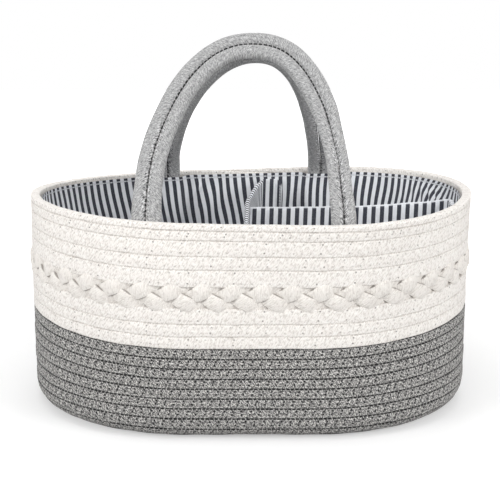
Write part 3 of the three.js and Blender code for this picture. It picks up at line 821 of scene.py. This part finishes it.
def arch_points(half_span, lean_in, slant, bow, fullness, shifts):
    """From the left leg over the top to the right one, sideways and upwards from the hinge."""
    angles = np.linspace(math.pi, 0, 121)[4:-4]
    aside, share = rounded(angles, 2 / fullness)
    left, right = [np.interp(share, shift_shares, shift) for shift in shifts]
    out = (half_span - lean_in * share) * aside + np.where(angles > math.pi / 2, left, right)
    return out + slant * share + 4 * bow * share * (1 - share), arch_height * share


def handle_path(name):
    """Points, across and through directions from the left tail to the right one."""
    side, hinge, yaw, lean, half_span = hinges[name]
    yaw, lean = math.radians(yaw), math.radians(lean)
    along = np.array([math.cos(yaw), math.sin(yaw), 0])
    inward = -side * np.array([-math.sin(yaw), math.cos(yaw), 0])
    rising = inward * math.sin(lean) + np.array([0, 0, math.cos(lean)])
    arch = arch_points(half_span, *arches[name], leg_shifts[name])
    upper = [hinge + u * along + v * rising for u, v in zip(*arch)]
    tail_top = rim_height - tail_below_rim
    tail_heights = np.linspace(rim_height - tail_length, tail_top, tail_points)
    tails, outwards = [], []
    for x in leg_places[side]:
        turn = turn_where_x(x, side)
        near, far = wall(turn + np.array([-0.01, 0.01]), rim_at, 0.0)
        outwards.append(np.cross(far - near, [0, 0, 1]) / np.linalg.norm(far - near))
        tails.append(list(wall(turn, distance_at(tail_heights), rope_thick / 2 - leg_inset)))
    path = smooth_curve(np.array(tails[0] + upper + tails[1][::-1]), path_step)
    tangent = directions_of(path)
    leg = smooth(path[:, 2], rim_height - turned_below_rim, hinge[2] + turned_above_hinge)
    leg = leg[:, None]
    wall_through = np.where(path[:, :1] < hinge[0], outwards[0], outwards[1])
    through = (1 - leg) * wall_through - leg * side * np.cross(along, rising)
    across = np.cross(tangent, through)
    across /= np.linalg.norm(across, axis=1)[:, None]
    through = np.cross(across, tangent)
    return path, across, through


def directions_of(path):
    tangent = np.gradient(path, axis=0)
    return tangent / np.linalg.norm(tangent, axis=1)[:, None]


def smooth_curve(points, spacing):
    """A smooth curve through the points, with points of its own at an even spacing."""
    marks = lengths_along(points)
    slopes = np.gradient(points, marks, axis=0)
    places = np.linspace(0, marks[-1], int(marks[-1] / spacing) + 1)
    before = np.clip(np.searchsorted(marks, places, side="right") - 1, 0, len(marks) - 2)
    span = (marks[before + 1] - marks[before])[:, None]
    share = (places[:, None] - marks[before][:, None]) / span
    start, end = points[before], points[before + 1]
    curve = start * (1 + 2 * share) * (1 - share) ** 2 + end * share**2 * (3 - 2 * share)
    curve += slopes[before] * span * share * (1 - share) ** 2
    return curve - slopes[before + 1] * span * share**2 * (1 - share)


handle_paths = {name: handle_path(name) for name in hinges}
for name, (path, across, through) in handle_paths.items():
    top = path[:, 2].max().round(1)
    print(name, "seam is", round(lengths_along(path)[-1]), "mm long, top at", top)

# %% [markdown]
# Each rope is swept along its own side of that seam. The side towards the seam is squeezed a
# little flatter than the outer one. The two ropes keep a hair's breadth apart, and the shade
# between them reads as the seam.

# %% Handle ropes
cord_half_wide, cord_half_thick, cord_spread, cord_end = 5.7, 4.5, 0.5, 5
cord_stray, end_size, cord_round, free_above_rim = 0.65, 0.3, 0.8, 30
narrow_leg, narrow_from, narrow_to = 0.2, 229, 285
tugs_from, tugs_to = 230, 275


def handle_rope_piece(name, handle, side_of_seam, nodes, seed):
    path, across, through = handle_paths[handle]
    length = lengths_along(path)
    wide, thick = rounded(around, cord_round)
    pressed = 1 - smooth(path[:, 2], rim_height, rim_height + free_above_rim)[:, None]
    half_wide = cord_half_wide + cord_spread * pressed + waver(length, seed, 0.12)[:, None]
    aside = -cord_stray * hinges[handle][0] * (1 - pressed)
    half_thick = cord_half_thick + waver(length, seed + 1, 0.1)[:, None]
    ends = np.minimum(1, np.minimum(length, length[-1] - length) / cord_end)[:, None] ** 0.5
    ends = np.maximum(ends, end_size)
    reach = side_of_seam * (rope_half_gap + cord_spread * pressed) + half_wide * wide * ends
    right_leg = (path[:, :1] > 0) * (handle == "front_handle")
    narrowed = right_leg * (1 - smooth(path[:, 2:], narrow_from, narrow_to))
    reach = reach * (1 - narrow_leg * narrowed)
    depth = half_thick * thick * ends
    sideways = across[:, None] * (reach + aside)[:, :, None]
    points = path[:, None] + sideways + through[:, None] * depth[:, :, None]
    leg = np.broadcast_to((1 - smooth(path[:, 2:], tugs_from, tugs_to)) / mm, reach.shape)
    maps = rope_map(length, (1 + side_of_seam) / 2, side_of_seam * reach, leg)
    piece = grid_piece(name, points[:, :-1], maps, round_it=True, caps=True)
    dress(piece, None, "handle_rope", handle_rope, *nodes)
    blend_over_hinge(piece)


def blend_over_hinge(piece):
    """Bakes the rope's place into its mesh."""
    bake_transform(piece)


for handle in hinges:
    tails = [f"{handle}_tail_left", f"{handle}_tail_right"]
    handle_rope_piece(f"{handle}_cord_outside", handle, 1, [f"{handle}_outer_rope", *tails], 3)
    handle_rope_piece(f"{handle}_cord_inside", handle, -1, [f"{handle}_inner_rope"], 5)

# %% [markdown]
# The divider is two boards, each in a sleeve of the striped cloth that is folded over its top
# and open below. A sleeve ends in a flap of two layers, which turns along the lining and is
# held there by tape. Each sleeve is one sheet: up one side, over the top fold, down the other.
# The plan of its middle and its half thickness say where it goes, and slow waves keep both
# faces from being flat.

# %% Divider sleeves
plan_step, to_wall, end_flap_turns = 0.8, 15.2, 21 / 160
divider_top, divider_bottom, flap_bottom, corner_round = 168.0, 10.2, 30, 8
sleeve_half, flap_half, flap_length, fold_steps, side_steps = 2.2, 0.9, 20.5, 13, 40
face_inset, face_sway = 0.96, 0.35
flap_seams, piping_highlight_at, unbroken_highlight, far_off = (1.8, 5.4), 0.4, 1.4, 99.0
half_across, cross_at, cross_front, cross_back = 104, -3.6, 1.4, 13.1


def along_path(points, spacing):
    """Even steps along a bent line in plan, with its corners rounded a little."""
    marks = lengths_along(points)
    places = np.linspace(0, marks[-1], int(marks[-1] / spacing) + 1)
    path = np.stack([np.interp(places, marks, column) for column in points.T], axis=-1)
    for _ in range(3):
        path[1:-1] = (path[:-2] + 2 * path[1:-1] + path[2:]) / 4
    return path, lengths_along(path)


def sleeve(name, node, corners, flaps, rise, seed, piping_and_highlight=False):
    """flaps are the lengths along the path that a flap takes up at the start and at the end."""
    path, length = along_path(np.array(corners), plan_step)
    whole = length[-1]
    into_flap = np.maximum(flaps[0] - length, length - (whole - flaps[1]))
    share = smooth(into_flap, -4.0, 2.0)
    half = sleeve_half + (flap_half - sleeve_half) * share
    free_end = np.where(length < whole / 2, length if flaps[0] else far_off, whole - length)
    short = corner_round - np.minimum(free_end, corner_round)
    corner = corner_round - np.sqrt(corner_round**2 - short**2)
    top = divider_top - corner + rise * smooth(length, whole * 0.35, whole)
    top = top + waver(length, seed, 0.3)
    bottom = divider_bottom + (flap_bottom - divider_bottom) * smooth(into_flap, -1.0, 1.0)
    bottom = bottom + corner * (share > 0.5)
    fold = np.linspace(0, math.pi, fold_steps)
    climb = np.linspace(0, 1, side_steps)[:-1]
    side = np.concatenate([climb * 0 + 1, np.cos(fold), climb * 0 - 1])
    level = np.concatenate([climb, 1 + 0 * fold, climb[::-1]])
    over = np.concatenate([climb * 0, np.sin(fold), climb * 0])
    height = bottom[:, None] + (top - half - bottom)[:, None] * level + half[:, None] * over
    length, free_end, share = length[:, None], free_end[:, None], share[:, None]
    sway = np.sin(length / 15 + height / 31 + seed) * np.sin(height / 19 - length / 43)
    out = half[:, None] * side * face_inset + face_sway * sway * (1 - share)
    tangent = directions_of(path)
    x = path[:, :1] - tangent[:, 1:] * out
    y = path[:, 1:] + tangent[:, :1] * out
    points = settle(x, y, height)
    from_top = (top - divider_top)[:, None] + divider_top - height
    cloth = np.stack([np.broadcast_to(length, x.shape), from_top], axis=-1) * mm
    near_edge = np.minimum(free_end, from_top)
    on_flap = np.minimum(*[abs(near_edge - seam) for seam in flap_seams])
    # long sleeve: an unbroken pale line on the top fold, partly piping, partly painted highlight
    seam = np.where(share > 0.5, on_flap, abs(from_top - piping_highlight_at) if piping_and_highlight else far_off)
    beat = np.where((share > 0.5) | (not piping_and_highlight), length + height, unbroken_highlight)
    seam_map = np.stack([seam, beat], axis=-1) * mm
    piece = grid_piece(name, points, {"cloth": cloth, "seam": seam_map})
    dress(piece, "divider", *striped, node)


def cross_x(y):
    share = y / half_across
    return cross_at + np.where(y < 0, cross_front * share, cross_back * share**2)


ys = np.linspace(-106.5, 106.5, 80)
cross_line = [(15.1, -110.9), (-3.2, -110.8), (-5.2, -108.6)]
cross_line += list(zip(cross_x(ys), ys)) + [(9.9, 108.6), (12.0, 110.6), (29.6, 110.9)]
flaps = (flap_length, flap_length)
sleeve("sleeve_across", "divider_cross_cover", cross_line, flaps, 3.0, 2)

end_turns = np.linspace(2.5, 2.5 - end_flap_turns, 12)
end_x, end_y = oval(end_turns, to_wall)
end_line = list(zip(end_x - 0.3, end_y))[1:]
long_line = [(-0.9, 0.0), (170.5, 0.0), (173.0, -0.4)] + end_line
flaps = (0, flap_length)
sleeve("sleeve_along", "divider_long_cover", long_line, flaps, 2.2, 5, piping_and_highlight=True)

# %% [markdown]
# Boards and tape keep the form of their CAD solids, which are flat strips on the real divider
# too. They only need their surfaces: pulp with short fibres, a grid of nylon hooks and a felt
# of loops.

# %% Board and tape finishes
pulp_board = Finish("pulp_board", Roughness=0.8)
place = pulp_board.place()
fibres = pulp_board.noise(place, 900.0, 4.0, 0.7)
tone = pulp_board.layers(
    pulp_board.mix(pulp_board.noise(place, 60.0), (176, 166, 150), (196, 187, 172)),
    (fibres.rise(0.5, 0.65) * 0.5, (142, 131, 116)),
)
pulp_board.use(tone, fibres, 0.0002)

hook_tape = Finish("hook_tape", Roughness=0.5)
hook_wave = 2 * math.pi / 0.0016
x, y, z = hook_tape.parts(hook_tape.place(), 3)
hooks = ((x + y) * hook_wave).sine() * (z * hook_wave).sine()
tone = hook_tape.mix(hooks.rise(0.1, 0.5), (206, 208, 211), (238, 239, 241))
hook_tape.use(tone, hooks.rise(0.0, 0.6), 0.0006)

loop_tape = Finish("loop_tape", Roughness=0.95, Sheen_Weight=0.3, Sheen_Roughness=0.5)
loops = loop_tape.noise(loop_tape.place(), 1400.0, 3.0, 0.7)
tone = loop_tape.mix(loops.rise(0.4, 0.65), (196, 198, 202), (236, 237, 240))
loop_tape.use(tone, loops, 0.0005)

surfaces = {"divider_cross_board": pulp_board, "divider_long_board": pulp_board}
for place in ("back", "front", "right"):
    surfaces["hook_strip_" + place] = hook_tape
    surfaces["loop_patch_" + place] = loop_tape
for node, finish in surfaces.items():
    bpy.data.objects[node].material_slots[0].material = finish.material
print("CAD nodes with a new surface:", len(surfaces))

# %% [markdown]
# The stage is a pale floor that runs out into a white world. It glows for the camera alone,
# more so far away, so that it ends in white but keeps the caddy's shadow. The lamps in front
# stand high enough to reach over the rim into the lining.

# %% Stage and light
mesh = bpy.data.meshes.new("floor")
far = 2.2
corners = [(-far, -far, 0), (far, -far, 0), (far, far, 0), (-far, far, 0)]
mesh.from_pydata(corners, [], [(0, 1, 2, 3)])
floor = new_object("floor", mesh)
finish = Finish("pale_floor", Roughness=0.9, Emission_Strength=1.0)
place = finish.place()
x, y = finish.parts(place, 2)
glow = finish.mix((x * x + y * y).rise(0.04, 0.4), (172, 172, 172), (238, 238, 238))
seen = finish.mix(finish.add("LightPath", {}, {}), (0, 0, 0), glow)
speckle = finish.mix(finish.noise(place, 60.0, 3.0), (206, 206, 206), (210, 210, 210))
finish.set(Base_Color=speckle, Emission_Color=seen)
mesh.materials.append(finish.material)

world = bpy.data.worlds.new("studio")
scene.world = world
world.use_nodes = True
sky = Graph(world.node_tree)
sky.nodes.clear()
camera_ray = sky.add("LightPath", {}, {}, "Is Camera Ray")
glossy_ray = sky.add("LightPath", {}, {}, "Is Glossy Ray")
fill_strength, backdrop_strength = 0.4, 1.0
fill, backdrop = [
    sky.add("Background", {}, {"Color": (1, 1, 1, 1), "Strength": strength})
    for strength in (fill_strength, backdrop_strength)
]
both = sky.add("MixShader", {}, {0: camera_ray.most(glossy_ray), 1: fill, 2: backdrop})
sky.put(sky.nodes.new("ShaderNodeOutputWorld").inputs["Surface"], both)


def lamp(name, place, target, size, power):
    data = bpy.data.lights.new(name, "AREA")
    data.shape = "DISK"
    data.size = size
    data.energy = power
    light = new_object(name, data)
    light.location = place
    aim = Vector(target) - Vector(place)
    light.rotation_euler = aim.to_track_quat("-Z", "Y").to_euler()


lamp("top_lamp", (-0.1, -0.3, 1.9), (0, 0, 0.1), 1.2, 9.5)
lamp("front_lamp", (0, -1.5, 1.0), (0, 0, 0.15), 0.9, 3)
lamp("left_lamp", (-1.35, -0.95, 0.8), (0, 0, 0.2), 0.9, 12)
lamp("right_lamp", (1.35, -0.95, 0.8), (0, 0, 0.2), 0.9, 12)
lamp("back_lamp", (0.3, 1.6, 1.0), (0, 0, 0.15), 1.2, 5)
scene.view_settings.view_transform = "Standard"
